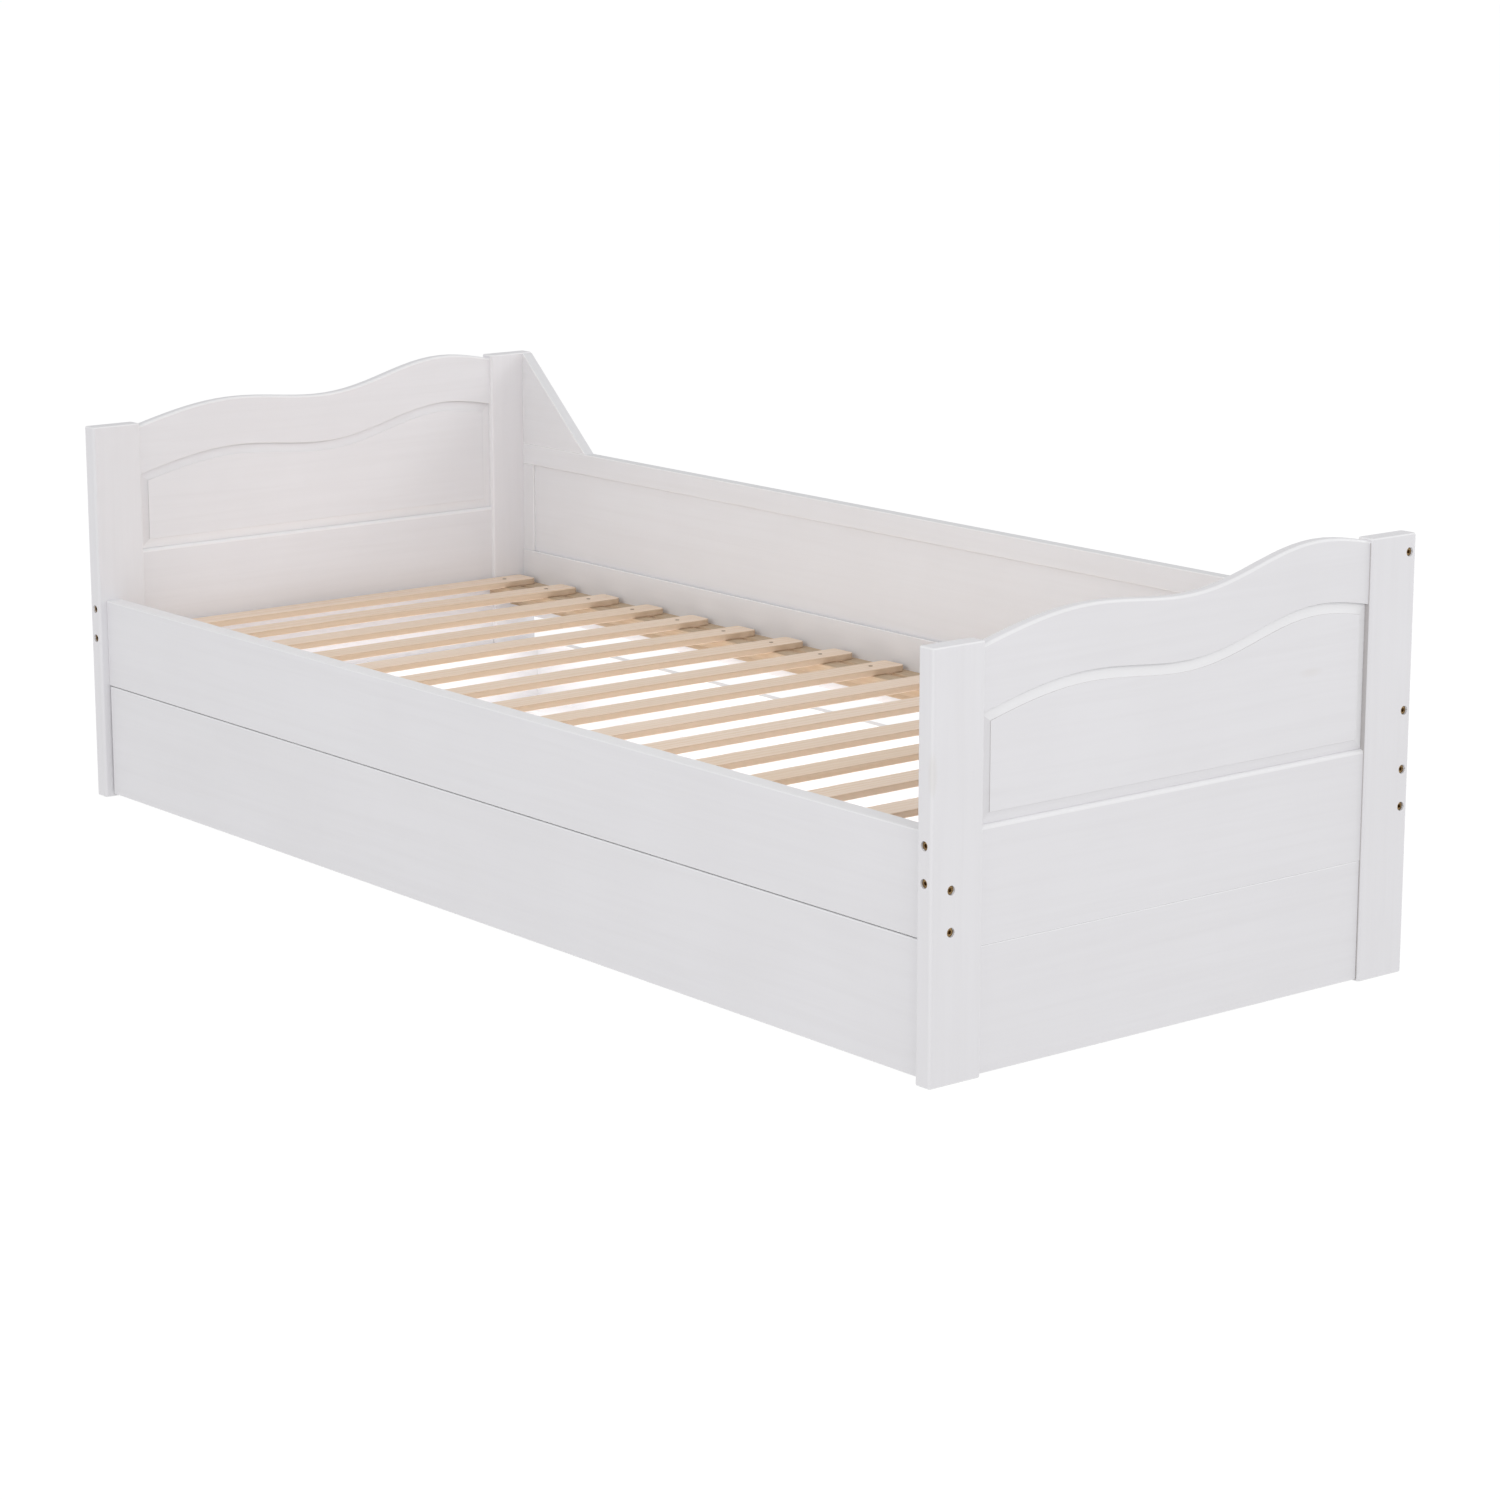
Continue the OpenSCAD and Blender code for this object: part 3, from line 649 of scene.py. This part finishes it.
def slat(node):
    """A slat with round corners and arrises, very slightly bowed and sprung as sawn pine is."""
    lo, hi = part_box(node)
    rng = seeded(node + " shape")
    bow, spring, twist = rng.uniform(*BOW), rng.uniform(*SPRING), rng.uniform(*TWIST)
    length = hi.y - lo.y
    mid_x, half_w = (lo.x + hi.x) / 2, (hi.x - lo.x) / 2
    top = hi.z - HEAD_PROUD
    mid_z = (lo.z + top) / 2
    steps = [d * MM for d in END_STEPS]
    span = length - 2 * CORNER_R
    inner = [CORNER_R + span * i / SPAN_STEPS for i in range(1, SPAN_STEPS)]
    stations = steps + inner + [length - d for d in reversed(steps)]
    bm = bmesh.new()
    # Mask for the painted shade on the slat's sides.
    painted_side_shade = bm.faces.layers.float.new("painted_side_shade")
    rings = []
    for s in stations:
        from_end = min(s, length - s)
        cut = lost_to_round(CORNER_R, from_end)
        thin = lost_to_round(ARRIS_R, from_end)
        t = s / length
        hump = math.sin(math.pi * t) ** 2
        x_mid = mid_x + spring * MM * math.sin(math.pi * t)
        y = lo.y + s
        z_mid = mid_z + bow * MM * hump
        turn = math.radians(twist) * (t - 0.5) * 2 * hump
        ring = []
        for x, z in slat_section(half_w - cut, lo.z + thin, top - thin, ARRIS_R):
            rx = x * math.cos(turn) - (z - mid_z) * math.sin(turn)
            rz = x * math.sin(turn) + (z - mid_z) * math.cos(turn)
            ring.append(bm.verts.new((x_mid + rx, y, z_mid + rz)))
        rings.append(ring)
    count = len(rings[0])
    for a, b in zip(rings, rings[1:]):
        for i in range(count):
            j = (i + 1) % count
            bm.faces.new((a[i], b[i], b[j], a[j]))
    bm.faces.new(rings[0])
    bm.faces.new(list(reversed(rings[-1])))
    bmesh.ops.recalc_face_normals(bm, faces=bm.faces)
    for face in bm.faces:
        face[painted_side_shade] = float(abs(face.normal.z) < SHADED_SIDE)
    show(bm, node + "_planed", node, PINE, lo, hi)


for node in sorted(NODES):
    kind, _, number = node.rpartition("_")
    if kind == "slat" and number.isdigit():
        slat(node)


# ---- The metal and nylon parts, which keep their CAD meshes ----


def dress(node, material, radius):
    """Gives a CAD node its material, and takes the sharpness off its edges."""
    piece = NODES[node]
    for slot_of_piece in piece.material_slots:
        slot_of_piece.material = material
    weld = piece.modifiers.new("weld", "WELD")
    weld.merge_threshold = WELD_REACH
    soft = piece.modifiers.new("soft_edges", "BEVEL")
    soft.width = radius
    soft.segments = 2
    soft.limit_method = "ANGLE"
    soft.angle_limit = SOFTENED_ANGLE


dress("frame_bolts", BRONZE, 0.35 * MM)
dress("slat_screws", BRONZE, 0.1 * MM)
dress("insert_nuts", ZINC, 0.2 * MM)
dress("trundle_screws", ZINC, 0.1 * MM)
dress("wheel_axles", ZINC, 0.3 * MM)
for number in range(1, 5):
    dress(f"wheel_bracket_{number}", ZINC, 0.4 * MM)
    dress(f"wheel_{number}", NYLON, 0.3 * MM)


# ---- Studio ----

FLOOR_REACH = 60.0
FLOOR_DROP = 0.3 * MM
FLOOR_LOOK = {
    "Base Color": rgb(0.12, 0.12, 0.12),
    "Roughness": 0.9,
    "Specular IOR Level": 0.0,
    "Emission Color": rgb(1.0, 1.0, 1.0),
    "Emission Strength": 0.93,
}
WORLD_STRENGTH = 0.68

# The camera is in metres, and its three directions are unit vectors.
CAMERA_PLACE = (4.5875, -3.5867, 1.5019)
CAMERA_RIGHT = (0.6275, 0.7786, 0.0)
CAMERA_UP = (-0.1707, 0.1375, 0.9757)
CAMERA_AHEAD = (-0.7597, 0.6122, -0.2192)
CAMERA_LENS = 95.556
CAMERA_SENSOR = 36.0
CAMERA_CLIP = (0.1, 300.0)


def studio_floor():
    """A pale glowing card, out to the horizon, that throws no light of its own on the bed."""
    bm = bmesh.new()
    bmesh.ops.create_grid(bm, x_segments=1, y_segments=1, size=FLOOR_REACH)
    mesh = bpy.data.meshes.new("studio_floor")
    bm.to_mesh(mesh)
    bm.free()
    mesh.materials.append(Shader("studio_card").finish(FLOOR_LOOK))
    floor = bpy.data.objects.new("studio_floor", mesh)
    floor.location.z = cad_box[0].z - FLOOR_DROP
    floor.visible_diffuse = False
    bpy.context.scene.collection.objects.link(floor)


def studio_world():
    world = bpy.data.worlds.new("studio")
    world.use_nodes = True
    back = world.node_tree.nodes["Background"]
    back.inputs["Color"].default_value = rgb(1.0, 1.0, 1.0)
    back.inputs["Strength"].default_value = WORLD_STRENGTH
    bpy.context.scene.world = world


def soft_light(name, place, target, size, power, shine=False):
    """A rectangular lamp that the camera doesn't see. 'shine' lets it show in reflections."""
    lamp = bpy.data.lights.new(name, "AREA")
    lamp.shape = "RECTANGLE"
    lamp.size, lamp.size_y = size
    lamp.energy = power
    holder = bpy.data.objects.new(name, lamp)
    holder.location = place
    aim = Vector(target) - Vector(place)
    holder.rotation_euler = aim.to_track_quat("-Z", "Y").to_euler()
    holder.visible_camera = False
    holder.visible_glossy = shine
    bpy.context.scene.collection.objects.link(holder)


def camera():
    data = bpy.data.cameras.new("camera")
    data.sensor_width = CAMERA_SENSOR
    data.lens = CAMERA_LENS
    data.clip_start, data.clip_end = CAMERA_CLIP
    holder = bpy.data.objects.new("camera", data)
    turn = Matrix((CAMERA_RIGHT, CAMERA_UP, -Vector(CAMERA_AHEAD))).transposed()
    holder.matrix_world = Matrix.Translation(CAMERA_PLACE) @ turn.to_4x4()
    bpy.context.scene.collection.objects.link(holder)
    bpy.context.scene.camera = holder


studio_floor()
studio_world()
soft_light("front", (0.6, -7.0, 3.4), (0.0, 0.0, 0.4), (5.0, 3.0), 95.0)
soft_light("side", (4.4, -1.5, 2.15), (0.6, 0.0, 0.4), (2.0, 2.0), 36.0)
soft_light("shine", (2.6, 6.5, 2.4), (0.5, 0.0, 0.4), (4.0, 2.0), 110.0, shine=True)
soft_light("under_slats", (0.0, 0.0, 0.225), (0.0, 0.0, 0.0), (1.9, 0.74), 6.4)
camera()
bpy.context.scene.view_settings.view_transform = "Standard"
bpy.context.scene.view_settings.look = "None"
